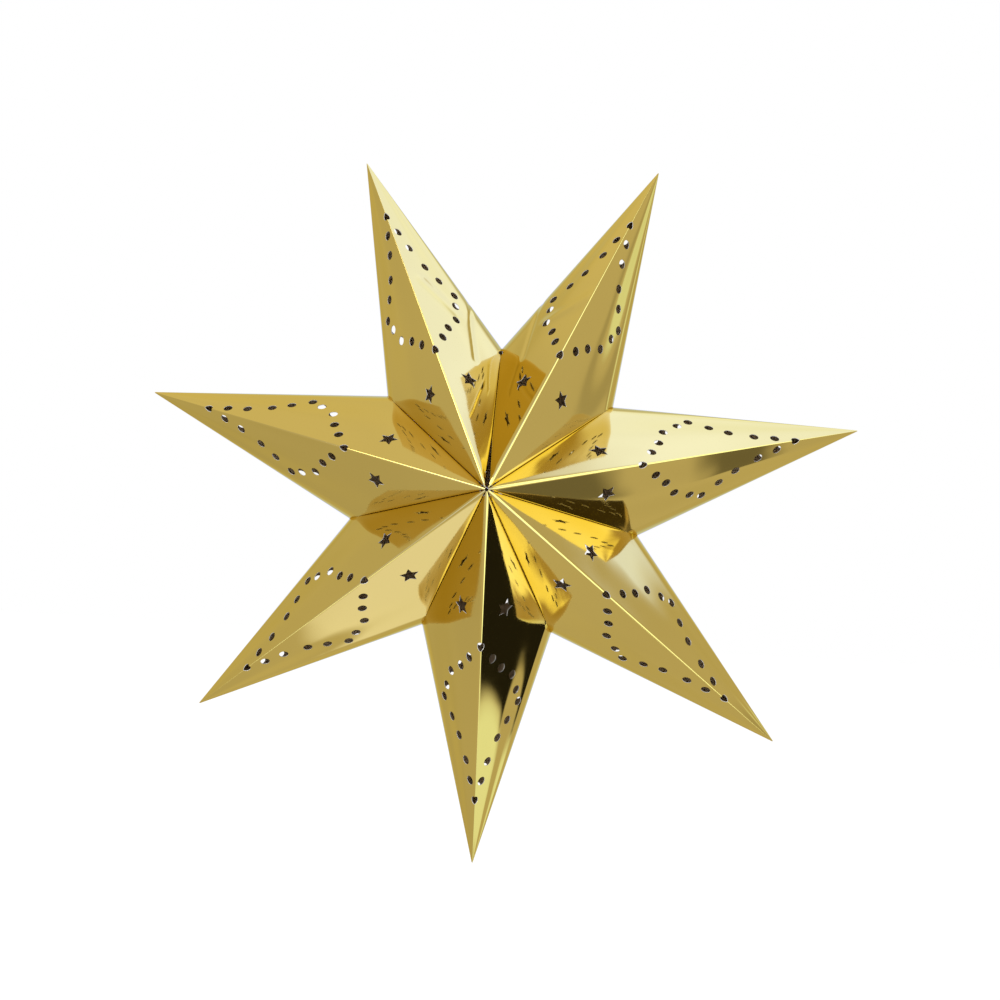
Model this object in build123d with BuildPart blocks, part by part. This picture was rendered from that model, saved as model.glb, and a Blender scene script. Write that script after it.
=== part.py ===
from build123d import *
from math import asin, atan2, cos, hypot, radians, sin, tan
import os

# Seven-pointed star lantern of thin foil-faced card, opened like a fan and hung by a hole
# punched beside its top seam. Each point is one die-cut sheet: folded down its front ridge,
# lapped and glued down its back ridge, and glued to both neighbours by tabs along the seams.
# Millimetres, +Z up, the front faces -Y, and the origin is the middle of the hanging hole.

# Star, with each point's bearing clockwise from the upper left
tip_radius = 230.0
tip_blunt = 1.0
valley_radius = 93.0
bend_setback = 10.0
bend_flats = 10
seam_slope = 40.5
card = 0.35
bearings = [114.0, 66.0, 13.0, -38.5, -90.5, -142.0, -194.0]

# Glue tabs along the seams and the lap along the back ridge
tab_width = 8.0
tab_start = 9.0
lap_width = 6.5
lap_setback = 14.0

# Gaps: the eye at the centre of each side, and the unglued end of the top seam
eye_radius = 1.2
slit_length = 31.0
slit_width = 3.0

# Hanging hole on the top seam
hanging_hole = 3.0
hanging_setback = 4.5

# Punched dots: distance from the tip along the ridge, then distance from the ridge
dot_size = 5.6
dot_sides = 8
dots = [
    (58.5, 5.0),
    (70.5, 9.5),
    (84.0, 17.0),
    (93.0, 25.0),
    (102.5, 34.0),
    (111.5, 31.5),
    (123.5, 27.0),
    (131.5, 17.5),
    (140.0, 10.0),
]
ridge_holes = [46.5, 150.5]

# Punched star: distance from the centre along the ridge, then distance from the ridge
star_place = (76.3, 18.5)
star_size = 12.0
star_waist = 0.42
star_turn = 18.0
punch_reach = 4.0

# Worked out from the sizes above
count = len(bearings)
slope = radians(seam_slope)
centre_height = (valley_radius + bend_setback) * tan(slope)
ridge_length = hypot(tip_radius, centre_height)
half_angle = radians(180 / count)
flat_side = (tip_radius * tan(slope) - centre_height * cos(half_angle)) / sin(half_angle)
flat_size = hypot(ridge_length, flat_side)
wall_slide = card * flat_size / centre_height
fold_narrowing = ridge_length / flat_size


def outward(bearing):
    return Vector(cos(radians(bearing)), 0, sin(radians(bearing)))


front = Vector(0, -1, 0)
seams = [(a + b) / 2 for a, b in zip(bearings, bearings[1:] + [bearings[0] - 360])]
top_seam = seams[0]
centre = outward(top_seam) * (hanging_setback - valley_radius)

# In front of the star, x to the right and y up the top seam
face_plane = Plane(centre + front * centre_height, x_dir=outward(top_seam - 90), z_dir=front)


def seam_plane(seam):
    """The plane where two points meet: x runs out from the axis, y to the front."""
    return Plane(centre, x_dir=outward(seam), z_dir=outward(seam).cross(front))


def ridge_plane(bearing, face):
    """Square to a point's ridge: x runs down the ridge to the tip, y across it."""
    ridge = outward(bearing) * tip_radius - front * centre_height * face
    peak = centre + front * centre_height * face
    return Plane(peak, x_dir=ridge, z_dir=ridge.cross(outward(bearing + 90)))


def flat_plane(bearing, seam, face):
    """One flat of a point: x runs down the ridge to the tip, y towards the seam."""
    ridge = ridge_plane(bearing, face)
    valley = outward(seam) * cos(slope) - front * sin(slope) * face
    return Plane(ridge.origin, x_dir=ridge.x_dir, z_dir=ridge.x_dir.cross(valley))


def bend_corners(bearing, seam):
    """Where the creases of a point's side cross the seam plane, from front to back.

    The card bends round the side as narrow flats that share the tip. Their creases lie on
    a cone that passes through the valley and is tangent to the front and back flats.
    """
    tip = centre + outward(bearing) * tip_radius
    corner = centre + outward(seam) * (valley_radius + bend_setback)
    valley = centre + outward(seam) * valley_radius
    normal = flat_plane(bearing, seam, 1).z_dir
    lean = hypot(normal.X, normal.Z)
    swing = radians((corner - tip).get_angle(valley - tip))
    half_cone = atan2(lean * sin(swing), 1 - lean * cos(swing))
    outer = (valley - tip).normalized()
    across = outer.cross(front) * (1 if seam > bearing else -1)
    axis = outer * cos(half_cone) - across * sin(half_cone)
    side = outer * sin(half_cone) + across * cos(half_cone)
    edge = axis - normal * axis.dot(normal)
    start = asin(edge.normalized().dot(front) / sin(half_cone))
    plane = seam_plane(seam)
    corners = []
    for n in range(bend_flats + 1):
        turn = start * (1 - 2 * n / bend_flats)
        crease = axis * cos(half_cone) + (side * cos(turn) + front * sin(turn)) * sin(half_cone)
        reach = (centre - tip).dot(plane.z_dir) / crease.dot(plane.z_dir)
        spot = plane.to_local_coords(tip + crease * reach)
        corners.append((spot.X, spot.Y))
    return corners


def half_form(bearing, seam):
    """One side of a point as a closed form, from its middle to the seam."""
    with BuildSketch(seam_plane(seam), mode=Mode.PRIVATE) as end:
        with BuildLine():
            bend = bend_corners(bearing, seam)
            Polyline((0, centre_height), *bend, (0, -centre_height), close=True)
        make_face()
    tip = Vertex(*(centre + outward(bearing) * tip_radius))
    with BuildPart() as half:
        loft([end.sketch.face(), tip], ruled=True)
    return half.part


def glue_tabs(start, end):
    """Tabs inside the front and back seams, their ends cut back at 45 degrees."""
    with BuildSketch() as tabs:
        with BuildLine():
            edge = Line((start, centre_height - start * tan(slope)), end)
            along = edge.tangent_at(0)
            inward = along.rotate(Axis.Z, -90)
            Polyline(
                edge @ 1,
                (edge @ 1) + (inward - along) * tab_width,
                (edge @ 0) + (inward + along) * tab_width,
                edge @ 0,
            )
        make_face()
        mirror(about=Plane.XZ)
    return tabs.sketch


# Five-pointed star that is punched near the centre
with BuildSketch() as star_hole:
    with BuildLine():
        rim = [star_size / 2, star_size / 2 * star_waist] * 5
        Polyline(*[Vector(r, 0).rotate(Axis.Z, 36 * n) for n, r in enumerate(rim)], close=True)
    make_face()

os.makedirs("parts", exist_ok=True)

for number, bearing in enumerate(bearings):
    before = seams[number - 1] + (360 if number == 0 else 0)
    after = seams[number]

    with BuildPart() as form:
        add(half_form(bearing, before))
        add(half_form(bearing, after))
        end = centre + outward(bearing) * (tip_radius - tip_blunt)
        split(bisect_by=Plane(end, x_dir=front, z_dir=outward(bearing)), keep=Keep.BOTTOM)

    with BuildPart() as point:
        # The folded sheet: the closed form, less the same form slid in along the point
        add(form.part)
        with Locations(outward(bearing) * -wall_slide):
            add(form.part, mode=Mode.SUBTRACT)

        # Glue tabs, turned in along both seams
        for seam, side in ((before, 1), (after, -1)):
            start = slit_length if seam == top_seam else tab_start
            with BuildSketch(seam_plane(seam)):
                add(glue_tabs(start, bend_corners(bearing, seam)[0]))
            extrude(amount=card * side)

        # Glue lap, turned in along the back ridge
        with BuildSketch(flat_plane(bearing, after, -1).offset(-card)):
            with BuildLine():
                low, high = lap_setback, ridge_length - lap_setback
                Polyline(
                    (low, card),
                    (high, card),
                    (high - lap_width, lap_width),
                    (low + lap_width, lap_width),
                    close=True,
                )
            make_face()
        extrude(amount=-card)

        # The pattern: dots and a star through each flat, round holes through the ridges
        for face in (1, -1):
            for seam in (before, after):
                with BuildSketch(flat_plane(bearing, seam, face).offset(punch_reach)):
                    with Locations(*[(ridge_length - x, y) for x, y in dots]):
                        RegularPolygon(dot_size / 2, dot_sides)
                    with Locations(star_place):
                        add(star_hole.sketch.rotate(Axis.Z, star_turn))
            with BuildSketch(ridge_plane(bearing, face).offset(punch_reach)):
                with Locations(*[(ridge_length - x, 0) for x in ridge_holes]):
                    RegularPolygon(dot_size / 2, dot_sides)
                scale(by=(1, fold_narrowing, 1))
        extrude(amount=-2 * punch_reach, mode=Mode.SUBTRACT)

        # Eye at the middle of each side
        with BuildSketch(face_plane):
            Circle(eye_radius)
        extrude(amount=-2 * centre_height, mode=Mode.SUBTRACT)

        # The top seam gapes where it is left unglued, and the hanging hole is cut through it
        if top_seam in (before, after):
            with BuildSketch(face_plane):
                with BuildLine():
                    gap = slit_width / 2
                    Polyline((0, slit_length), (gap, 0), (-gap, 0), close=True)
                make_face()
            extrude(amount=-2 * centre_height, mode=Mode.SUBTRACT)
            with BuildSketch(face_plane):
                with Locations((0, valley_radius - hanging_setback)):
                    Circle(hanging_hole / 2)
            extrude(amount=-2 * centre_height, mode=Mode.SUBTRACT)

    point.part.label = f"point_{number + 1}"
    export_step(point.part, f"parts/{point.part.label}.step")
    print(point.part.label, point.part.is_valid, len(point.solids()), round(point.part.volume))
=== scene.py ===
from functools import partial
from math import acos, asin, atan2, cos, hypot, pi, radians, sin, tan

import bmesh
import bpy
import numpy as np
from mathutils import Matrix, Vector


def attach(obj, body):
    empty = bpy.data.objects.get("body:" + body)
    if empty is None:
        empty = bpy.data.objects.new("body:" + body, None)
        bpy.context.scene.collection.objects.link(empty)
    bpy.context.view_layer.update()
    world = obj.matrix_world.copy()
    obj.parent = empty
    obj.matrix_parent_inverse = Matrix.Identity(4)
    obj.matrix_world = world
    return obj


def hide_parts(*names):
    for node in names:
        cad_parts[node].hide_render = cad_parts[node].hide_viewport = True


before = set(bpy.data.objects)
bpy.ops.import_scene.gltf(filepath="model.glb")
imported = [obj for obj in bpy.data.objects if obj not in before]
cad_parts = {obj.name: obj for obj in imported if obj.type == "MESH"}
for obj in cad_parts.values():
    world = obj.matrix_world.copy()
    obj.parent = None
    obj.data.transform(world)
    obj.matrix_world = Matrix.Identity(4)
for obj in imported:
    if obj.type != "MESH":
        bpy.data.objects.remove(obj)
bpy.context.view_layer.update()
print("frame loaded:", len(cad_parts), "nodes")

mm = 0.001

# The star's own sizes, in millimetres and degrees, as in the CAD
star = {
    "tipRadius": 230.0,
    "tipBlunt": 1.1,  # the card is cut off this far from the tip
    "valleyRadius": 93.0,
    "bendSetback": 10.0,
    "seamSlope": 40.5,
    "card": 0.35,
    "bearings": [114.0, 66.0, 13.0, -38.5, -90.5, -142.0, -194.0],
    "hangingSetback": 4.5,
    "eyeRadius": 1.2,
}

# How the card is folded and glued
fold = {
    "ridgeRadius": 1.3,  # of the front ridge beside the peak
    "ridgeCrease": 0.98,  # how far in the inner side of a ridge draws together
    "seamRadius": 1.3,  # where a glue tab turns in
    "seamGap": 0.08,  # half the groove between two tabs
    "seamEase": 12.0,  # length over which a seam's fold runs out at the bend
    "seamOverrun": 2.0,  # how far past the peak a seam's fold goes on
    "leastFold": 0.03,  # smallest share of its radius that a fold runs out to
    "innerRoom": 0.05,  # how much rounder than the card is thick a whole fold is
    "tabWidth": 8.0,
    "tabStart": 9.0,
    "slitLength": 31.0,
    "slitWidth": 3.0,
    "lapWidth": 6.5,
    "lapSetback": 14.0,
    "lapRadius": 0.36,
    "lapEase": 30.0,  # length over which the lap's fold grows from the tip
    "lapEdge": 0.4,  # the flat over the lap stops this far from the back ridge
    "eyeStretch": 1.17,  # the eye is round from the front and longer along the sloping card
    "tipThinning": 8.0,  # the card is pressed thin over this length at the tip
}

# The punched pattern: along the ridge from the tip, then away from the ridge
punches = {
    "dotSize": 5.6,
    "dotSides": 28,
    "dots": [
        (58.5, 5.0), (70.5, 9.5), (84.0, 17.0), (93.0, 25.0), (102.5, 34.0),
        (111.5, 31.5), (123.5, 27.0), (131.5, 17.5), (140.0, 10.0),
    ],
    "ridgeDots": [46.5, 150.5],
    "starFromPeak": 76.3,
    "starFromRidge": 18.5,
    "starSize": 12.0,
    "starWaist": 0.5,
    "starTurn": 18.0,
    "cutterLength": 4.0,
    "hangingHole": 3.0,
    "hangingSides": 24,
    "hangingCutter": 60.0,  # length of its cutter, which goes through front and back
}

# The flats aren't quite flat: heights and lengths in millimetres
bowing = {
    "belly": 0.25,
    "uneven": 0.5,
    "bellyChange": (3.7, 1.9),  # by bearing and flat, so that no two bellies are alike
    "crown": 0.5,  # how far across a flat its belly is highest
    "shoulder": 0.7,  # how far a flat falls away before its bend starts
    "intoBend": 0.9,  # how far round the bend both run out
    "seamEase": 14.0,
    "tipEase": 90.0,
    "waves": [(75.0, 0.05), (43.0, 0.015)],
    "waveChange": (1.3, 2.1),
    "dentEase": 3.0,  # dents run out over this length at a seam
}

# Creases and soft dents that handling left beside the top seam: the point and the flat that
# they are on, a route of places along the ridge from the tip and away from it, and their sizes
dents = [
    {"point": 1, "flat": 2, "route": [(101, 48), (126, 38), (153, 30)], "halfWidth": 1.5, "depth": 0.42},
    {"point": 1, "flat": 2, "route": [(96, 11), (118, 30)], "halfWidth": 4.0, "depth": 0.5},
    {"point": 2, "flat": 1, "route": [(101, 46), (122, 40), (150, 31)], "halfWidth": 1.5, "depth": 0.42},
    {"point": 2, "flat": 1, "route": [(122, 29), (106, 3)], "halfWidth": 4.0, "depth": -0.5},
]

# How finely each sheet is drawn
drawing = {
    "flatColumns": 32,
    "gluedColumns": 4,  # from the eye to the start of a tab
    "slitColumns": 8,  # the same, where the top seam gapes
    "eyeShares": (0.0, 0.35, 0.7),  # columns that end at the eye, from ridge to seam
    "eyeSharesBefore": (0.0, 0.35),  # the same, on a flat that comes before its ridge
    "bendColumns": 16,
    "bendEdge": 0.3,  # an extra column this share of the way to the first and last of these
    "bendClear": 1.2,  # length of seam without columns before the bend
    "ridgeColumns": 6,
    "rows": 100,
    "foldRows": 6,
    "tabRows": 2,
    "hair": 1e-4,  # keeps the last column of a flat on its seam
    "angleSlack": 1e-6,
    "sharpAngle": 28.0,
}

slope = radians(star["seamSlope"])
centreHeight = (star["valleyRadius"] + star["bendSetback"]) * tan(slope)
ridgeLength = hypot(star["tipRadius"], centreHeight)
eyeReach = star["eyeRadius"] * fold["eyeStretch"]
bearings = star["bearings"]
seams = [(a + b) / 2 for a, b in zip(bearings, bearings[1:] + [bearings[0] - 360])]
topSeam = seams[0]
front = np.array([0.0, -1.0, 0.0])
toBack = np.array([1.0, -1.0, 1.0])  # turns a direction of the front into one of the back


def outward(bearing):
    return np.array([cos(radians(bearing)), 0.0, sin(radians(bearing))])


def unit(v):
    return v / np.linalg.norm(v)


def angleBetween(a, b):
    return acos(max(-1.0, min(1.0, float(unit(a) @ unit(b)))))


def turned(axis, angle, v):
    # A direction turned round an axis, or a row of directions each round its own
    along = np.sum(axis * v, axis=-1, keepdims=True)
    return v * np.cos(angle) + np.cross(axis, v) * np.sin(angle) + axis * along * (1 - np.cos(angle))


def easedHump(u, start, top, end):
    # Rises smoothly from 0 at the start to 1 at the top and falls back to 0 at the end
    share = np.where(u < top, (u - start) / (top - start), (end - u) / (end - top))
    return np.sin(pi / 2 * np.clip(share, 0, 1)) ** 2


def awayFrom(a, b, spots):
    # How far each spot is from the straight line between two places
    share = np.clip((spots - a) @ (b - a) / ((b - a) @ (b - a)), 0, 1)
    return np.linalg.norm(spots - a - np.outer(share, b - a), axis=1)


def rolled(s, z, radius, turn):
    # Card rolled round a fold, from how far past the start of the fold it is and how high:
    # how far out and how far down it comes
    arc = np.minimum(s, radius * turn)
    angle, straight = arc / radius, s - arc
    z = z * np.minimum(1, radius / (star["card"] + fold["innerRoom"]))
    out = (radius + z) * np.sin(angle) + straight * np.cos(angle)
    down = -radius + (radius + z) * np.cos(angle) - straight * np.sin(angle)
    return out, down


starCentre = outward(topSeam) * (star["hangingSetback"] - star["valleyRadius"])
peak = starCentre + front * centreHeight


def sideShape(bearing, seam):
    # One side of a point, seen from its tip: a flat, then a cone that bends round to the back
    tip = starCentre + outward(bearing) * star["tipRadius"]
    corner = starCentre + outward(seam) * (star["valleyRadius"] + star["bendSetback"])
    valley = starCentre + outward(seam) * star["valleyRadius"]
    normal = unit(np.cross(peak - tip, corner - tip))
    normal *= np.sign(normal @ front)
    lean = hypot(normal[0], normal[2])
    swing = angleBetween(corner - tip, valley - tip)
    cone = atan2(lean * sin(swing), 1 - lean * cos(swing))
    outer = unit(valley - tip)
    across = np.cross(outer, front) * (1 if seam > bearing else -1)
    axis = outer * cos(cone) - across * sin(cone)
    touch = unit(axis - normal * (axis @ normal))
    wall = np.cross(outward(seam), front)
    return {
        "normal": normal,
        "flat": angleBetween(peak - tip, touch),
        "cone": cone,
        "turn": 2 * asin((touch @ front) / sin(cone)),
        "wall": wall,
        "reach": float((starCentre - tip) @ wall),
        "seam": seam,
    }


class FoldedSheet:
    # A point's card seen from its tip: flats and cones that all meet there, so it lies flat
    # as a fan. x and y are places on the flat card, in millimetres, with the tip at 0, 0.

    def __init__(self, number, bearing, before, after):
        self.number, self.bearing = number, bearing
        self.tip = starCentre + outward(bearing) * star["tipRadius"]
        first, last = sideShape(bearing, before), sideShape(bearing, after)
        self.ridgeTurn = angleBetween(first["normal"], last["normal"])
        self.ridgeNormal = unit(first["normal"] + last["normal"])
        self.ridgeCone = fold["ridgeRadius"] / ridgeLength
        half = self.ridgeTurn / 2
        reach = asin(tan(self.ridgeCone) * tan(half))
        sweep = 2 * acos(cos(reach) * cos(half)) * sin(self.ridgeCone)
        # Each step round the fan, from one back flat to the other: its cone and its extent
        steps = [
            (pi / 2, first["flat"]),
            (first["cone"], first["turn"] * sin(first["cone"])),
            (pi / 2, first["flat"] - reach),
            (self.ridgeCone, sweep),
            (pi / 2, last["flat"] - reach),
            (last["cone"], last["turn"] * sin(last["cone"])),
            (pi / 2, last["flat"]),
        ]
        ray = unit((peak - self.tip) * toBack)
        normal = first["normal"] * toBack
        start, rows = 0.0, []
        for cone, extent in steps:
            axis, rate = normal * sin(cone) - ray * cos(cone), 1 / sin(cone)
            rows.append((start, axis, rate, ray, normal))
            ray, normal = turned(axis, extent * rate, ray), turned(axis, extent * rate, normal)
            start += extent
        starts, axes, rates, rays, normals = zip(*rows)
        self.starts = np.array([*starts, start])
        self.axes, self.rates = np.array(axes), np.array(rates)
        self.rays, self.normals = np.array(rays), np.array(normals)
        self.ridge = (self.starts[3] + self.starts[4]) / 2
        self.seamLines = [
            self.seamLine(first, 0.0, 1),
            self.seamLine(first, self.starts[2] + first["flat"], -1),
            self.seamLine(last, self.starts[4] - reach, 1),
            self.seamLine(last, start, -1),
        ]
        gap = float(np.linalg.norm(ray - unit((peak - self.tip) * toBack)))
        print("sheet", number, "fan", round(start * 180 / pi, 1), "deg, closes to", round(gap, 6))

    def section(self, theta):
        # Direction from the tip and outward normal at an angle round the fan
        k = np.clip(np.searchsorted(self.starts, theta, side="right") - 1, 0, len(self.rates) - 1)
        angle = ((theta - self.starts[k]) * self.rates[k])[:, None]
        return [turned(self.axes[k], angle, v[k]) for v in (self.rays, self.normals)]

    def seamReach(self, theta, side):
        # How far from the tip the card meets the neighbouring point
        return side["reach"] / (self.section(np.atleast_1d(theta))[0] @ side["wall"])

    def seamLine(self, side, ridgeAngle, sense):
        # A straight seam on the flat card, from the peak to where the bend starts
        bend = ridgeAngle + sense * side["flat"]
        top = np.array([cos(ridgeAngle), sin(ridgeAngle)]) * ridgeLength
        low = np.array([cos(bend), sin(bend)]) * float(self.seamReach(bend, side)[0])
        along = unit(low - top)
        out = np.array([-along[1], along[0]])
        out *= np.sign(out @ top)
        edge = outward(side["seam"]) * cos(slope) - front * sin(slope)
        inward = unit(np.cross(edge, side["wall"]))
        inward *= np.sign(inward @ -outward(side["seam"]))
        flatOutward = unit(np.cross(side["normal"], edge))
        flatOutward *= -np.sign(flatOutward @ (self.tip - peak))
        return {
            "side": side,
            "sense": sense,
            "ridgeAngle": ridgeAngle,
            "top": top,
            "along": along,
            "out": out,
            "length": float(np.linalg.norm(low - top)),
            "turn": angleBetween(flatOutward, inward),
            "sink": float(abs(flatOutward @ side["wall"])),
        }

    def foldRadius(self, line, c):
        share = np.clip((line["length"] - c) / fold["seamEase"], fold["leastFold"], 1)
        return fold["seamRadius"] * share

    def foldStart(self, line, c):
        # The seam's edge stands back for the glue, and further where the top seam gapes
        back = fold["seamGap"]
        if line["side"]["seam"] == topSeam:
            gape = np.clip(1 - c * cos(slope) / fold["slitLength"], 0, 1)
            back = back + gape * fold["slitWidth"] / 2 / line["sink"]
        return back + self.foldRadius(line, c) * tan(line["turn"] / 2)

    def lapFold(self, x):
        # The lap's fold radius and how far before the back ridge it starts, at x from the tip
        ease = np.clip(x / fold["lapEase"], fold["leastFold"], 1)
        radius = fold["lapRadius"] * ease
        under = (star["card"] + fold["seamGap"]) * ease / sin(self.ridgeTurn)
        return radius, under + radius * tan(self.ridgeTurn / 2)

    def rollSeams(self, p):
        # Turns the card in along its straight seams, and carries the glue tabs round with it
        for line in self.seamLines:
            rel = p[:, :2] - line["top"]
            c = rel @ line["along"]
            start = self.foldStart(line, c)
            s = rel @ line["out"] + start
            out, down = rolled(s, p[:, 2], self.foldRadius(line, c), line["turn"])
            moved = line["top"] + np.outer(c, line["along"]) + np.outer(out - start, line["out"])
            use = (s > 0) & (c < line["length"]) & (c > -fold["seamOverrun"])
            p[use] = np.column_stack([moved, down])[use]
        return p

    def rollLap(self, p):
        # Turns the card in along its open edge, so that the lap lies under the far flat
        radius, inset = self.lapFold(p[:, 0])
        s = inset - p[:, 1]
        out, down = rolled(s, p[:, 2], radius, self.ridgeTurn)
        p[s > 0] = np.column_stack([p[:, 0], inset - out, down])[s > 0]
        return p

    def onFlat(self, at, x, y):
        # A place on the flat card, from how far along a ridge from the tip and how far off it
        down = unit(self.seamLines[at]["top"])
        side = np.array([-down[1], down[0]]) * self.seamLines[at]["sense"]
        return down * x + side * y

    def bow(self, p):
        # How far each flat bellies out or in, in millimetres: nothing at its ridge and seam
        reach, theta = np.hypot(p[:, 0], p[:, 1]), np.arctan2(p[:, 1], p[:, 0])
        rise = np.zeros(len(p))
        for n, line in enumerate(self.seamLines):
            side = line["side"]
            # 0 at the ridge, 1 where the bend starts and a little more where the bow runs out
            last = 1 + side["turn"] * sin(side["cone"]) / 2 * bowing["intoBend"] / side["flat"]
            across = (theta - line["ridgeAngle"]) * line["sense"] / side["flat"]
            use = (across > 0) & (across < last)
            u, r, spot = across[use], reach[use], p[use, :2]
            inside = (self.seamReach(theta[use], side) - r) * (spot @ line["out"]) / r
            inside = np.maximum(inside, 0)
            ends = (1 - np.exp(-inside / bowing["seamEase"])) * np.minimum(1, r / bowing["tipEase"])
            crown = bowing["crown"]
            dip = ends * easedHump(u, crown, 1, last) * bowing["shoulder"]
            byBearing, byFlat = bowing["bellyChange"]
            change = sin(self.bearing * byBearing + n * byFlat)
            belly = bowing["belly"] * (1 + bowing["uneven"] * change)
            byBearing, byFlat = bowing["waveChange"]
            for k, (length, height) in enumerate(bowing["waves"]):
                turn = self.bearing * (byBearing + k) + n * byFlat
                belly = belly + height * np.sin(2 * pi / length * (spot @ [cos(turn), sin(turn)]) + turn)
            rise[use] = ends * easedHump(u, 0, crown, last) * belly - dip
            for dent in dents:
                if (dent["point"], dent["flat"]) == (self.number, n):
                    near = [self.onFlat(n, *place) for place in dent["route"]]
                    far = np.min([awayFrom(a, b, spot) for a, b in zip(near, near[1:])], axis=0)
                    edge = 1 - np.exp(-inside / bowing["dentEase"])
                    rise[use] -= dent["depth"] * edge * np.exp(-((far / dent["halfWidth"]) ** 2))
        return rise

    def place(self, flat):
        # Where a place on the flat card comes in the folded point, in millimetres
        p = np.array(flat, dtype=float)
        reach = np.hypot(p[:, 0], p[:, 1])
        p[:, 2] *= star["card"] * np.minimum(1, reach / fold["tipThinning"])
        p[:, 2] += self.bow(p)
        p = self.rollLap(self.rollSeams(p))
        reach, theta = np.hypot(p[:, 0], p[:, 1]), np.arctan2(p[:, 1], p[:, 0])
        ray, normal = self.section(theta)
        out = self.tip + ray * reach[:, None] + normal * p[:, 2:3]
        # Where the ridge's fold is sharper than the card is thick, its inner side is creased
        depth, radius, slack = -p[:, 2], self.ridgeCone * reach, drawing["angleSlack"]
        onRidge = (theta > self.starts[3] - slack) & (theta < self.starts[4] + slack)
        creased = onRidge & (radius < depth)
        inner = normal * radius[:, None] * fold["ridgeCrease"]
        inner += self.ridgeNormal * ((depth - radius) / cos(self.ridgeTurn / 2))[:, None]
        out[creased] = (self.tip + ray * reach[:, None] - inner)[creased]
        return out


def tabStart(line):
    # Where a seam's glue tab starts, along the seam from the peak
    clear = fold["slitLength"] if line["side"]["seam"] == topSeam else fold["tabStart"]
    return clear / cos(slope)


def newColumn(end, c=None, line=None):
    # A run of points from the tip to its end, which is c along a seam or at the eye or bend
    return {"end": end, "c": c, "line": line, "main": None, "fold": None, "tab": None}


def columnsOfFlat(sheet, line):
    # Columns of the drawing across one flat, from its ridge to its bend
    top, along = line["top"], line["along"]
    columns = []
    for share in drawing["eyeShares" if line["sense"] > 0 else "eyeSharesBefore"]:
        columns.append(newColumn(top + unit(along * share - unit(top) * (1 - share)) * eyeReach))
    start, last = tabStart(line), line["length"]
    gapes = line["side"]["seam"] == topSeam
    clear = np.linspace(eyeReach, start, drawing["slitColumns" if gapes else "gluedColumns"])
    tabbed = np.linspace(start, last - drawing["bendClear"], drawing["flatColumns"])[1:]
    for c in [*clear, *tabbed, last - drawing["hair"]]:
        columns.append(newColumn(top + along * c - line["out"] * sheet.foldStart(line, c), c, line))
    return columns


def sheetColumns(sheet):
    # Every column of the drawing, in the order of their angles at the tip
    def plainColumn(theta, reach):
        return newColumn(np.array([cos(theta), sin(theta)]) * reach)

    columns = []
    for at, line in enumerate(sheet.seamLines):
        # The flat after the ridge goes without a column of its own at the ridge
        columns += columnsOfFlat(sheet, line)[1 if at == 2 else 0:]
    for theta in np.linspace(*sheet.starts[3:5], drawing["ridgeColumns"] + 1)[1:]:
        columns.append(plainColumn(theta, ridgeLength - eyeReach))
    shares = np.linspace(0, 1, drawing["bendColumns"] + 1)[1:-1]
    edge = shares[0] * drawing["bendEdge"]
    # The bends are the fan's second and last step but one
    for step, line in ((1, sheet.seamLines[0]), (5, sheet.seamLines[2])):
        start, end = sheet.starts[step:step + 2]
        for share in [edge, *shares, 1 - edge]:
            theta = start + share * (end - start)
            reach = sheet.seamReach(theta, line["side"])[0] - fold["seamGap"]
            columns.append(plainColumn(theta, reach))
    return sorted(columns, key=lambda column: atan2(column["end"][1], column["end"][0]))


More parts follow.
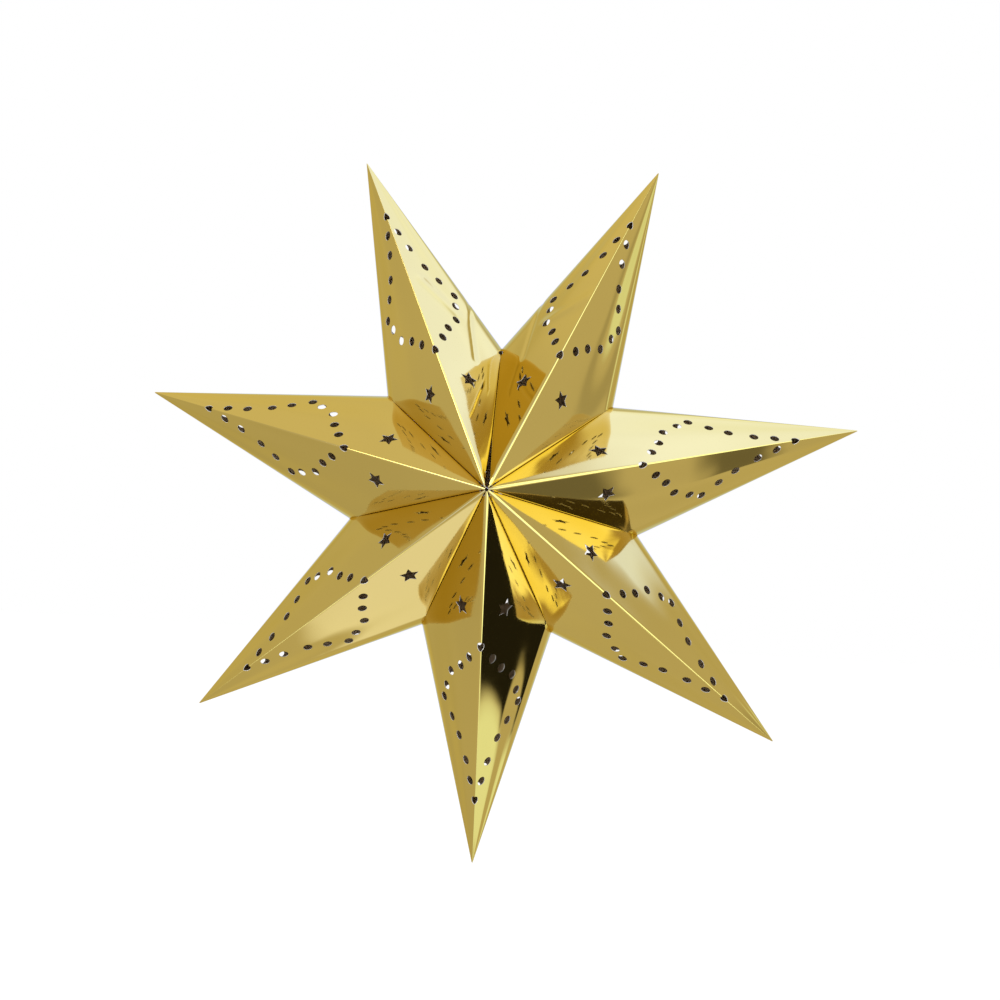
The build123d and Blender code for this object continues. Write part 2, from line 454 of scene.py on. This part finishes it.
def drawSheet(sheet, name):
    # The flat card as a closed slab: its outline, glue tabs and lap, on rays from the tip
    points, quads = [], []

    def addRun(spots):
        points.extend((float(x), float(y)) for x, y in spots)
        return list(range(len(points) - len(spots), len(points)))

    def join(left, right):
        # Quads between two neighbouring runs of points
        quads.extend(zip(left, left[1:], right[1:], right))

    columns = sheetColumns(sheet)
    shares = np.linspace(0, 1, drawing["rows"] + 1)
    foldShares = np.arange(1, drawing["foldRows"] + 1) / drawing["foldRows"]
    tabShares = np.arange(1, drawing["tabRows"] + 1) / drawing["tabRows"]
    for column in columns:
        end, c, line = column["end"], column["c"], column["line"]
        length = np.linalg.norm(end)
        reach = star["tipBlunt"] + shares * (length - star["tipBlunt"])
        spots = np.outer(reach, end / length)
        if column is columns[0]:
            alongRidge = reach
            spots = np.column_stack([reach, sheet.lapFold(reach)[1]])
        if column is columns[-1]:
            inward = np.array([end[1], -end[0]]) / length
            spots = spots + np.outer(fold["lapEdge"] * np.clip(reach / fold["lapEase"], 0, 1), inward)
        column["main"] = addRun(spots)
        if line is None:
            continue
        s = sheet.foldRadius(line, c) * line["turn"] * foldShares
        column["fold"] = column["main"][-1:] + addRun(end + np.outer(s, line["out"]))
        start, room = tabStart(line), line["length"] - tabStart(line)
        if c >= start:
            # The tab's ends are cut back at 45 degrees
            t = fold["tabWidth"] * tabShares
            cut = start + t + (c - start) / room * (room - 2 * t)
            s = t + sheet.foldRadius(line, cut) * line["turn"] - sheet.foldStart(line, cut)
            spots = line["top"] + np.outer(cut, line["along"]) + np.outer(s, line["out"])
            column["tab"] = column["fold"][-1:] + addRun(spots)
    for left, right in zip(columns, columns[1:]):
        join(left["main"], right["main"])
        for run in ("fold", "tab"):
            if left["line"] is right["line"] and left[run] and right[run]:
                join(left[run], right[run])

    # The lap turns in along the back ridge
    radius, inset = sheet.lapFold(alongRidge)
    near = columns[0]["main"]
    for share in foldShares:
        far = addRun(np.column_stack([alongRidge, inset - radius * sheet.ridgeTurn * share]))
        join(far, near)
        near = far
    setback = fold["lapSetback"]
    held = (alongRidge >= setback) & (alongRidge <= ridgeLength - setback)
    x, y = alongRidge[held], (inset - radius * sheet.ridgeTurn)[held]
    near = np.array(near)[held].tolist()
    for t in (fold["lapWidth"] / 2, fold["lapWidth"]):
        room = x[-1] - x[0]
        far = addRun(np.column_stack([x[0] + t + (x - x[0]) / room * (room - 2 * t), y - t]))
        join(far, near)
        near = far
    return closedSlab(points, quads, name)


def closedSlab(points, quads, name):
    # Top and bottom of the card, joined by a wall along every open edge
    size = len(points)
    verts = [(x, y, 0.0) for x, y in points] + [(x, y, -1.0) for x, y in points]
    faces = quads + [tuple(i + size for i in q[::-1]) for q in quads]
    edges = {edge: None for q in quads for edge in zip(q, q[1:] + q[:1])}
    for a, b in edges:
        if (b, a) not in edges:
            faces.append((b, a, a + size, b + size))
    mesh = bpy.data.meshes.new(name)
    mesh.from_pydata(verts, [], faces)
    return mesh


def punchPlaces(sheet):
    # Every hole of the pattern as x, y, kind (1 a round dot, 2 a star) and turn
    places = []
    for at, line in enumerate(sheet.seamLines):
        for x, y in punches["dots"]:
            places.append((*sheet.onFlat(at, x, y), 1, 0.0))
        spot = sheet.onFlat(at, ridgeLength - punches["starFromPeak"], punches["starFromRidge"])
        turn = atan2(-line["top"][1], -line["top"][0]) - line["sense"] * radians(punches["starTurn"])
        places.append((*spot, 2, turn))
    for theta in (0.0, sheet.ridge, sheet.starts[-1]):
        for x in punches["ridgeDots"]:
            places.append((cos(theta) * x, sin(theta) * x, 1, 0.0))
    # The dots that reach the lap under the far flat go through it too
    radius, inset = sheet.lapFold(ridgeLength)
    shift = inset - radius * (sheet.ridgeTurn - tan(sheet.ridgeTurn / 2))
    for x, y in punches["dots"]:
        if y - punches["dotSize"] / 2 < fold["lapWidth"]:
            places.append((x, shift - y, 1, 0.0))
    return places


def addNode(tree, kind, **settings):
    node = tree.nodes.new(kind)
    for name, value in settings.items():
        if name in node.inputs:
            node.inputs[name].default_value = value
        else:
            setattr(node, name, value)
    return node


def mathNode(tree, kind, a, b=None):
    # One sum, on plain numbers or on what other nodes put out
    node = addNode(tree, "ShaderNodeMath", operation=kind)
    for socket, value in zip(node.inputs, (a, b)):
        if isinstance(value, (int, float)):
            socket.default_value = value
        elif value is not None:
            tree.links.new(value, socket)
    return node.outputs[0]


def makePunchTree(gold, inside, core):
    # Cuts the blank with a round cutter or a star cutter on each marked place
    tree = bpy.data.node_groups.new("punchedCard", "GeometryNodeTree")
    face = tree.interface
    face.new_socket("Geometry", in_out="INPUT", socket_type="NodeSocketGeometry")
    sizes = {
        "Dot Size": ("NodeSocketFloat", punches["dotSize"]),
        "Dot Sides": ("NodeSocketInt", punches["dotSides"]),
        "Star Size": ("NodeSocketFloat", punches["starSize"]),
        "Star Waist": ("NodeSocketFloat", punches["starWaist"]),
        "Cutter Length": ("NodeSocketFloat", punches["cutterLength"]),
    }
    for name, (kind, _) in sizes.items():
        face.new_socket(name, in_out="INPUT", socket_type=kind)
    face.new_socket("Geometry", in_out="OUTPUT", socket_type="NodeSocketGeometry")
    link, math = tree.links.new, partial(mathNode, tree)
    given = addNode(tree, "NodeGroupInput")
    result = addNode(tree, "NodeGroupOutput")

    def attribute(name):
        node = addNode(tree, "GeometryNodeInputNamedAttribute", data_type="FLOAT")
        node.inputs["Name"].default_value = name
        return node.outputs["Attribute"]

    kindHere = attribute("punch")
    apart = addNode(tree, "GeometryNodeSeparateGeometry", domain="POINT")
    link(given.outputs["Geometry"], apart.inputs["Geometry"])
    link(math("GREATER_THAN", kindHere, 0.5), apart.inputs["Selection"])

    turnHere = addNode(tree, "ShaderNodeCombineXYZ")
    link(attribute("turn"), turnHere.inputs["Z"])
    turning = addNode(tree, "FunctionNodeEulerToRotation")
    link(turnHere.outputs[0], turning.inputs[0])

    cutters = addNode(tree, "GeometryNodeJoinGeometry")
    for kind, sides, size in ((1, "Dot Sides", "Dot Size"), (2, None, "Star Size")):
        bar = addNode(tree, "GeometryNodeMeshCylinder", fill_type="NGON")
        link(math("MULTIPLY", given.outputs[size], 0.5), bar.inputs["Radius"])
        link(given.outputs["Cutter Length"], bar.inputs["Depth"])
        shape = bar.outputs["Mesh"]
        if sides:
            link(given.outputs[sides], bar.inputs["Vertices"])
        else:
            # A bar of ten sides with every second corner drawn in to the star's waist
            bar.inputs["Vertices"].default_value = 10
            index = addNode(tree, "GeometryNodeInputIndex")
            drawnIn = math("SUBTRACT", 1.0, given.outputs["Star Waist"])
            odd = math("MODULO", index.outputs[0], 2.0)
            inset = math("SUBTRACT", 1.0, math("MULTIPLY", odd, drawnIn))
            parts = addNode(tree, "ShaderNodeSeparateXYZ")
            position = addNode(tree, "GeometryNodeInputPosition")
            link(position.outputs[0], parts.inputs[0])
            moved = addNode(tree, "ShaderNodeCombineXYZ")
            link(math("MULTIPLY", parts.outputs["X"], inset), moved.inputs["X"])
            link(math("MULTIPLY", parts.outputs["Y"], inset), moved.inputs["Y"])
            link(parts.outputs["Z"], moved.inputs["Z"])
            place = addNode(tree, "GeometryNodeSetPosition")
            link(shape, place.inputs["Geometry"])
            link(moved.outputs[0], place.inputs["Position"])
            shape = place.outputs["Geometry"]
        copies = addNode(tree, "GeometryNodeInstanceOnPoints")
        link(apart.outputs["Selection"], copies.inputs["Points"])
        link(shape, copies.inputs["Instance"])
        link(turning.outputs[0], copies.inputs["Rotation"])
        link(math("COMPARE", kindHere, float(kind)), copies.inputs["Selection"])
        link(copies.outputs["Instances"], cutters.inputs["Geometry"])

    cut = addNode(tree, "GeometryNodeMeshBoolean", operation="DIFFERENCE", solver="MANIFOLD")
    link(apart.outputs["Inverted"], cut.inputs["Mesh 1"])
    link(cutters.outputs["Geometry"], cut.inputs["Mesh 2"])
    whole = addNode(tree, "GeometryNodeRealizeInstances")
    link(cut.outputs["Mesh"], whole.inputs["Geometry"])

    # Foil on the upper side, plain card on the lower one and the core on every cut edge
    normal = addNode(tree, "GeometryNodeInputNormal")
    tilt = addNode(tree, "ShaderNodeSeparateXYZ")
    link(normal.outputs[0], tilt.inputs[0])
    chain = whole.outputs["Geometry"]
    for material, chosen in (
        (core, None),
        (gold, math("GREATER_THAN", tilt.outputs["Z"], 0.5)),
        (inside, math("LESS_THAN", tilt.outputs["Z"], -0.5)),
    ):
        finish = addNode(tree, "GeometryNodeSetMaterial")
        finish.inputs["Material"].default_value = material
        if chosen is not None:
            link(chosen, finish.inputs["Selection"])
        link(chain, finish.inputs["Geometry"])
        chain = finish.outputs["Geometry"]
    link(chain, result.inputs["Geometry"])
    return tree, sizes


def punchSheet(mesh, places, tree, sizes, name):
    # Adds the places as loose points, runs the tree and hands back a plain mesh
    build = bmesh.new()
    build.from_mesh(mesh)
    kinds = build.verts.layers.float.new("punch")
    turns = build.verts.layers.float.new("turn")
    middle = -0.5  # the blank goes down from 0 to -1
    for x, y, kind, turn in places:
        point = build.verts.new((x, y, middle))
        point[kinds], point[turns] = kind, turn
    build.to_mesh(mesh)
    build.free()
    blank = bpy.data.objects.new(name + "Blank", mesh)
    bpy.context.scene.collection.objects.link(blank)
    modifier = blank.modifiers.new("punch", "NODES")
    modifier.node_group = tree
    for item in tree.interface.items_tree:
        if item.in_out == "INPUT" and item.name in sizes:
            modifier[item.identifier] = sizes[item.name][1]
    bpy.context.view_layer.update()
    seen = blank.evaluated_get(bpy.context.evaluated_depsgraph_get())
    punched = bpy.data.meshes.new_from_object(seen)
    blank.modifiers.remove(modifier)
    bpy.data.objects.remove(blank)
    return punched


def foldMesh(mesh, sheet):
    # Moves every corner of the punched blank to its place in the folded point
    flat = np.empty(len(mesh.vertices) * 3, dtype=np.float32)
    mesh.vertices.foreach_get("co", flat)
    folded = sheet.place(flat.reshape(-1, 3)) * mm
    mesh.vertices.foreach_set("co", folded.astype(np.float32).ravel())
    build = bmesh.new()
    build.from_mesh(mesh)
    bmesh.ops.triangulate(build, faces=[f for f in build.faces if len(f.verts) > 4])
    build.to_mesh(mesh)
    build.free()


def cutHangingHole(piece, core):
    # A round cutter along Y through the top seam
    radius = punches["hangingHole"] / 2 * mm
    cutterMesh = bpy.data.meshes.new("holeCutter")
    build = bmesh.new()
    bmesh.ops.create_cone(
        build, cap_ends=True, segments=punches["hangingSides"], depth=punches["hangingCutter"] * mm,
        radius1=radius, radius2=radius, matrix=Matrix.Rotation(pi / 2, 4, "X"),
    )
    build.to_mesh(cutterMesh)
    build.free()
    cutterMesh.materials.append(core)
    cutter = bpy.data.objects.new("holeCutter", cutterMesh)
    bpy.context.scene.collection.objects.link(cutter)
    cut = piece.modifiers.new("hole", "BOOLEAN")
    cut.operation, cut.object, cut.solver = "DIFFERENCE", cutter, "EXACT"
    cut.material_mode = "TRANSFER"
    bpy.context.view_layer.update()
    seen = piece.evaluated_get(bpy.context.evaluated_depsgraph_get())
    done = bpy.data.meshes.new_from_object(seen)
    piece.modifiers.remove(cut)
    piece.data = done
    bpy.data.objects.remove(cutter)


# Finishes: ripples and grain are in metres
foil = {
    "color": (0.60, 0.435, 0.112),
    "edgeTint": (1.0, 0.86, 0.45),  # what is left of the foil's colour at a grazing look
    "roughness": 0.045,
    "roughnessChange": 0.3,
    "rippleSize": 0.035,
    "grainSize": 0.0016,
    "grainShare": 0.004,
    "depth": 0.00014,
}

paper = {
    "insideColor": (0.66, 0.53, 0.36),
    "insideRoughness": 0.8,
    "coreColor": (0.82, 0.79, 0.72),
    "coreRoughness": 0.85,
    "darkest": 0.85,  # share of its colour that the darkest grain keeps
    "rippleSize": 0.004,
    "grainSize": 0.0004,
    "grainShare": 0.6,
    "depth": 0.00005,
}


def newMaterial(name):
    material = bpy.data.materials.new(name)
    material.use_nodes = True
    nodes = material.node_tree.nodes
    return material, nodes, material.node_tree.links.new, nodes["Principled BSDF"]


def makeCardGrain():
    # Uneven card under any finish: one mask that changes over it and one height
    group = bpy.data.node_groups.new("cardGrain", "ShaderNodeTree")
    face = group.interface
    face.new_socket("Vector", in_out="INPUT", socket_type="NodeSocketVector")
    for name in ("Ripple Size", "Grain Size", "Grain Share"):
        face.new_socket(name, in_out="INPUT", socket_type="NodeSocketFloat")
    for name in ("Height", "Mottle"):
        face.new_socket(name, in_out="OUTPUT", socket_type="NodeSocketFloat")
    link = group.links.new
    given, result = addNode(group, "NodeGroupInput"), addNode(group, "NodeGroupOutput")
    heights = []
    for size, detail in (("Ripple Size", 1.0), ("Grain Size", 2.0)):
        noise = addNode(group, "ShaderNodeTexNoise", noise_dimensions="3D", Detail=detail)
        link(mathNode(group, "DIVIDE", 1.0, given.outputs[size]), noise.inputs["Scale"])
        link(given.outputs["Vector"], noise.inputs["Vector"])
        heights.append(noise.outputs["Fac"])
    mix = addNode(group, "ShaderNodeMix", data_type="FLOAT")
    link(given.outputs["Grain Share"], mix.inputs["Factor"])
    link(heights[0], mix.inputs["A"])
    link(heights[1], mix.inputs["B"])
    link(mix.outputs["Result"], result.inputs["Height"])
    link(heights[1], result.inputs["Mottle"])
    return group


cardGrain = makeCardGrain()


def useGrain(nodes, link, shader, finish):
    # Puts the card's grain under a finish and hands back the mask that changes over it
    place = nodes.new("ShaderNodeTexCoord")
    uneven = nodes.new("ShaderNodeGroup")
    uneven.node_tree = cardGrain
    uneven.inputs["Ripple Size"].default_value = finish["rippleSize"]
    uneven.inputs["Grain Size"].default_value = finish["grainSize"]
    uneven.inputs["Grain Share"].default_value = finish["grainShare"]
    link(place.outputs["Object"], uneven.inputs["Vector"])
    bump = nodes.new("ShaderNodeBump")
    bump.inputs["Distance"].default_value = finish["depth"]
    link(uneven.outputs["Height"], bump.inputs["Height"])
    link(bump.outputs["Normal"], shader.inputs["Normal"])
    return uneven.outputs["Mottle"]


def makeFoil():
    material, nodes, link, shader = newMaterial("goldFoil")
    shader.inputs["Metallic"].default_value = 1.0
    shader.inputs["Base Color"].default_value = (*foil["color"], 1)
    shader.inputs["Specular Tint"].default_value = (*foil["edgeTint"], 1)
    rough = nodes.new("ShaderNodeMapRange")
    rough.inputs["To Min"].default_value = foil["roughness"] * (1 - foil["roughnessChange"])
    rough.inputs["To Max"].default_value = foil["roughness"] * (1 + foil["roughnessChange"])
    link(useGrain(nodes, link, shader, foil), rough.inputs["Value"])
    link(rough.outputs["Result"], shader.inputs["Roughness"])
    return material


def makePaper(name, color, roughness):
    material, nodes, link, shader = newMaterial(name)
    shader.inputs["Roughness"].default_value = roughness
    tone = nodes.new("ShaderNodeMix")
    tone.data_type = "RGBA"
    shades = [s for s in tone.inputs if s.type == "RGBA"]
    shades[0].default_value = (*[c * paper["darkest"] for c in color], 1)
    shades[1].default_value = (*color, 1)
    link(useGrain(nodes, link, shader, paper), tone.inputs["Factor"])
    link([s for s in tone.outputs if s.type == "RGBA"][0], shader.inputs["Base Color"])
    return material


goldFoil = makeFoil()
cardInside = makePaper("cardInside", paper["insideColor"], paper["insideRoughness"])
cardCore = makePaper("cardCore", paper["coreColor"], paper["coreRoughness"])
punchTree, punchSizes = makePunchTree(goldFoil, cardInside, cardCore)
print("materials and punch tree made")

for number, bearing in enumerate(bearings):
    before = seams[number - 1] + (360 if number == 0 else 0)
    sheet = FoldedSheet(number + 1, bearing, before, seams[number])
    name = f"foldedPoint{number + 1}"
    mesh = punchSheet(drawSheet(sheet, name), punchPlaces(sheet), punchTree, punchSizes, name)
    foldMesh(mesh, sheet)
    piece = bpy.data.objects.new(name, mesh)
    bpy.context.scene.collection.objects.link(piece)
    if topSeam in (before, seams[number]):
        cutHangingHole(piece, cardCore)
    mesh = piece.data
    mesh.name = name
    mesh.polygons.foreach_set("use_smooth", [True] * len(mesh.polygons))
    mesh.set_sharp_from_angle(angle=radians(drawing["sharpAngle"]))
    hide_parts(f"point_{number + 1}")
    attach(piece, "root")
    print(name, len(mesh.polygons), "faces")

# Camera, light, floor and background
view = {
    "lens": 35.6,
    "sensor": 36.0,
    "place": (32.3, -622.5, -22.3),  # from the middle of the star
    "up": (-0.0523, 0.0, 0.9986),
    "shift": (0.0055, -0.0044),
    "clip": (0.01, 20.0),
}


def makeCamera():
    data = bpy.data.cameras.new("photoView")
    data.lens, data.sensor_width = view["lens"], view["sensor"]
    data.shift_x, data.shift_y = view["shift"]
    data.clip_start, data.clip_end = view["clip"]
    camera = bpy.data.objects.new("photoView", data)
    bpy.context.scene.collection.objects.link(camera)
    ahead = -Vector(view["place"]).normalized()
    right = ahead.cross(Vector(view["up"])).normalized()
    above = right.cross(ahead)
    turn = Matrix((right, above, -ahead)).transposed().to_4x4()
    camera.matrix_world = Matrix.Translation((Vector(starCentre) + Vector(view["place"])) * mm) @ turn
    bpy.context.scene.camera = camera


makeCamera()

studio = {
    "floorDepth": 0.62,
    "floorSize": 8.0,
    "floorColor": (0.9, 0.9, 0.9),
    "floorRoughness": 0.9,
    "floorGlow": 1.1,
    "floorGlowShare": 0.8,  # the rest shows the star's shadow
    "worldLight": 0.85,
    "room": 0.76,  # how bright metal sees the room
    "unevenness": 0.14,
    "patchScale": 3.5,
    "patchDetail": 2.0,
    "lampPlace": (-0.9, -1.2, 1.0),
    "lampSize": 0.9,
    "lampWatts": 14,
}

studioLight = {
    "lamp": (1, 1, 1),
    "daylight": (1, 1.26, 1.6),
    "sky": (1, 1.3, 3.2),
    "bounced": (1, 1.11, 1.7),
}

# What the foil mirrors: azimuth and elevation of each soft panel's middle in degrees (0 is
# towards the viewer and 90 to the right), half its width and height, its blur, its brightness
# and its light
studioPanels = {
    "wallBehind": (180, 5, 38, 45, 12, 0.8, "sky"),
    "ceilingLeft": (-125, 62, 40, 16, 9, 0.95, "lamp"),
    "lowLeft": (-109, -33, 14, 18, 8, 0.72, "lamp"),
    "lowBack": (180, -64, 50, 12, 7, 0.78, "lamp"),
    "front": (0, 8, 48, 40, 12, 1.15, "sky"),
    "sideWindow": (66, 24, 28.5, 61, 0.8, 2.2, "daylight"),
    "highWindow": (133, 60, 32, 15, 4, 1.45, "sky"),
    "upperStrip": (113, 31, 7, 5, 2, 1.25, "sky"),
    "underneath": (10, -90, 105, 8.5, 3, 2.2, "daylight"),
    "lowRight": (136, -73, 22, 6, 4, 1.3, "bounced"),
    "straightDown": (0, -90, 180, 5.5, 1.5, 2.2, "daylight"),
    "brightGap": (106, -33, 7, 4, 1.2, 1.2, "daylight"),
    "sideFlag": (102.5, -22.6, 7, 5.8, 0.8, 0.02, "lamp"),
    "lowFlag": (93, -42.5, 7, 5.5, 1.2, 0.08, "lamp"),
    "midFlag": (106, -45.2, 5, 2, 0.9, 0.24, "lamp"),
    "doorFrame": (104.5, 4, 1.8, 14, 1.2, 0.58, "lamp"),
    "doorGap": (110.8, 9, 2.0, 9, 1, 1.1, "daylight"),
    "footFlag": (104, -56, 5, 3.5, 1.2, 0.24, "lamp"),
}
panelSizes = ("Azimuth", "Elevation", "Half Width", "Half Height", "Blur")


def makePanelGroup():
    # Mask of one soft-edged panel of the studio, seen in a direction given in degrees
    group = bpy.data.node_groups.new("softPanel", "ShaderNodeTree")
    face = group.interface
    for name in ("Looking Azimuth", "Looking Elevation", *panelSizes):
        face.new_socket(name, in_out="INPUT", socket_type="NodeSocketFloat")
    face.new_socket("Mask", in_out="OUTPUT", socket_type="NodeSocketFloat")
    link, math = group.links.new, partial(mathNode, group)
    given, result = addNode(group, "NodeGroupInput"), addNode(group, "NodeGroupOutput")
    sides = []
    for name, size in (("Azimuth", "Half Width"), ("Elevation", "Half Height")):
        apart = math("SUBTRACT", given.outputs["Looking " + name], given.outputs[name])
        far = math("ABSOLUTE", apart)
        nearest = math("MINIMUM", far, math("SUBTRACT", 360.0, far))
        side = addNode(group, "ShaderNodeMapRange", interpolation_type="SMOOTHSTEP")
        link(nearest, side.inputs["Value"])
        for end, kind in (("From Min", "SUBTRACT"), ("From Max", "ADD")):
            link(math(kind, given.outputs[size], given.outputs["Blur"]), side.inputs[end])
        side.inputs["To Min"].default_value = 1.0
        side.inputs["To Max"].default_value = 0.0
        sides.append(side.outputs[0])
    link(math("MULTIPLY", *sides), result.inputs["Mask"])
    return group


def makeWorld():
    world = bpy.data.worlds.new("studio")
    bpy.context.scene.world = world
    world.use_nodes = True
    tree = world.node_tree
    nodes, link, math = tree.nodes, tree.links.new, partial(mathNode, tree)

    looking = addNode(tree, "ShaderNodeTexCoord")
    parts = addNode(tree, "ShaderNodeSeparateXYZ")
    link(looking.outputs["Generated"], parts.inputs[0])
    toViewer = math("MULTIPLY", parts.outputs["Y"], -1.0)
    azimuth = math("DEGREES", math("ARCTAN2", parts.outputs["X"], toViewer))
    elevation = math("DEGREES", math("ARCSINE", parts.outputs["Z"]))

    # Each panel lays its light over the room and the panels before it
    group = makePanelGroup()
    bright = addNode(tree, "ShaderNodeRGB").outputs[0]
    bright.default_value = (*[studio["room"]] * 3, 1.0)
    for name, (*sizes, brightness, light) in studioPanels.items():
        panel = nodes.new("ShaderNodeGroup")
        panel.node_tree = group
        panel.label = name
        link(azimuth, panel.inputs["Looking Azimuth"])
        link(elevation, panel.inputs["Looking Elevation"])
        for socket, value in zip(panelSizes, sizes):
            panel.inputs[socket].default_value = value
        lay = addNode(tree, "ShaderNodeMix", data_type="RGBA")
        colors = [s for s in lay.inputs if s.type == "RGBA"]
        link(panel.outputs["Mask"], lay.inputs["Factor"])
        link(bright, colors[0])
        colors[1].default_value = (*[brightness * c for c in studioLight[light]], 1.0)
        bright = [s for s in lay.outputs if s.type == "RGBA"][0]
    noise = addNode(
        tree, "ShaderNodeTexNoise", noise_dimensions="3D",
        Scale=studio["patchScale"], Detail=studio["patchDetail"],
    )
    link(looking.outputs["Generated"], noise.inputs["Vector"])
    patchy = math("MULTIPLY", math("SUBTRACT", noise.outputs["Fac"], 0.5), studio["unevenness"] * 2)

    # The camera sees white, metal sees the room and everything else gets an even light
    plain = nodes["Background"]
    plain.inputs["Color"].default_value = (1, 1, 1, 1)
    mirrored = addNode(tree, "ShaderNodeBackground")
    link(bright, mirrored.inputs["Color"])
    link(math("ADD", patchy, 1.0), mirrored.inputs["Strength"])
    path = addNode(tree, "ShaderNodeLightPath")
    seen = math("MAXIMUM", path.outputs["Is Camera Ray"], path.outputs["Is Transmission Ray"])
    extra = math("MULTIPLY", seen, 1.0 - studio["worldLight"])
    link(math("ADD", extra, studio["worldLight"]), plain.inputs["Strength"])
    mix = addNode(tree, "ShaderNodeMixShader")
    link(path.outputs["Is Glossy Ray"], mix.inputs[0])
    link(plain.outputs[0], mix.inputs[1])
    link(mirrored.outputs[0], mix.inputs[2])
    link(mix.outputs[0], nodes["World Output"].inputs["Surface"])


def makeFloor():
    mesh = bpy.data.meshes.new("floor")
    half, z = studio["floorSize"] / 2, -studio["floorDepth"]
    corners = [(-half, -half, z), (half, -half, z), (half, half, z), (-half, half, z)]
    mesh.from_pydata(corners, [], [(0, 1, 2, 3)])
    floor = bpy.data.objects.new("floor", mesh)
    bpy.context.scene.collection.objects.link(floor)
    material, nodes, link, shader = newMaterial("floor")
    shader.inputs["Base Color"].default_value = (*studio["floorColor"], 1)
    shader.inputs["Roughness"].default_value = studio["floorRoughness"]
    glow = nodes.new("ShaderNodeEmission")
    glow.inputs["Strength"].default_value = studio["floorGlow"]
    clear = nodes.new("ShaderNodeBsdfTransparent")
    path = nodes.new("ShaderNodeLightPath")
    tree, seen = material.node_tree, path.outputs["Is Camera Ray"]
    pale = nodes.new("ShaderNodeMixShader")
    link(mathNode(tree, "MULTIPLY", seen, studio["floorGlowShare"]), pale.inputs[0])
    link(shader.outputs[0], pale.inputs[1])
    link(glow.outputs[0], pale.inputs[2])
    # Metal looks through the floor into the room below
    mix = nodes.new("ShaderNodeMixShader")
    link(path.outputs["Is Glossy Ray"], mix.inputs[0])
    link(pale.outputs[0], mix.inputs[1])
    link(clear.outputs[0], mix.inputs[2])
    link(mix.outputs[0], nodes["Material Output"].inputs["Surface"])
    mesh.materials.append(material)


def makeLamp():
    data = bpy.data.lights.new("keyLamp", "AREA")
    data.energy, data.size = studio["lampWatts"], studio["lampSize"]
    lamp = bpy.data.objects.new("keyLamp", data)
    bpy.context.scene.collection.objects.link(lamp)
    lamp.location = studio["lampPlace"]
    toward = Vector(starCentre) * mm - Vector(studio["lampPlace"])
    lamp.rotation_euler = toward.to_track_quat("-Z", "Y").to_euler()


makeWorld()
makeFloor()
makeLamp()
bpy.context.scene.view_settings.view_transform = "Standard"
print("camera, light and floor made")
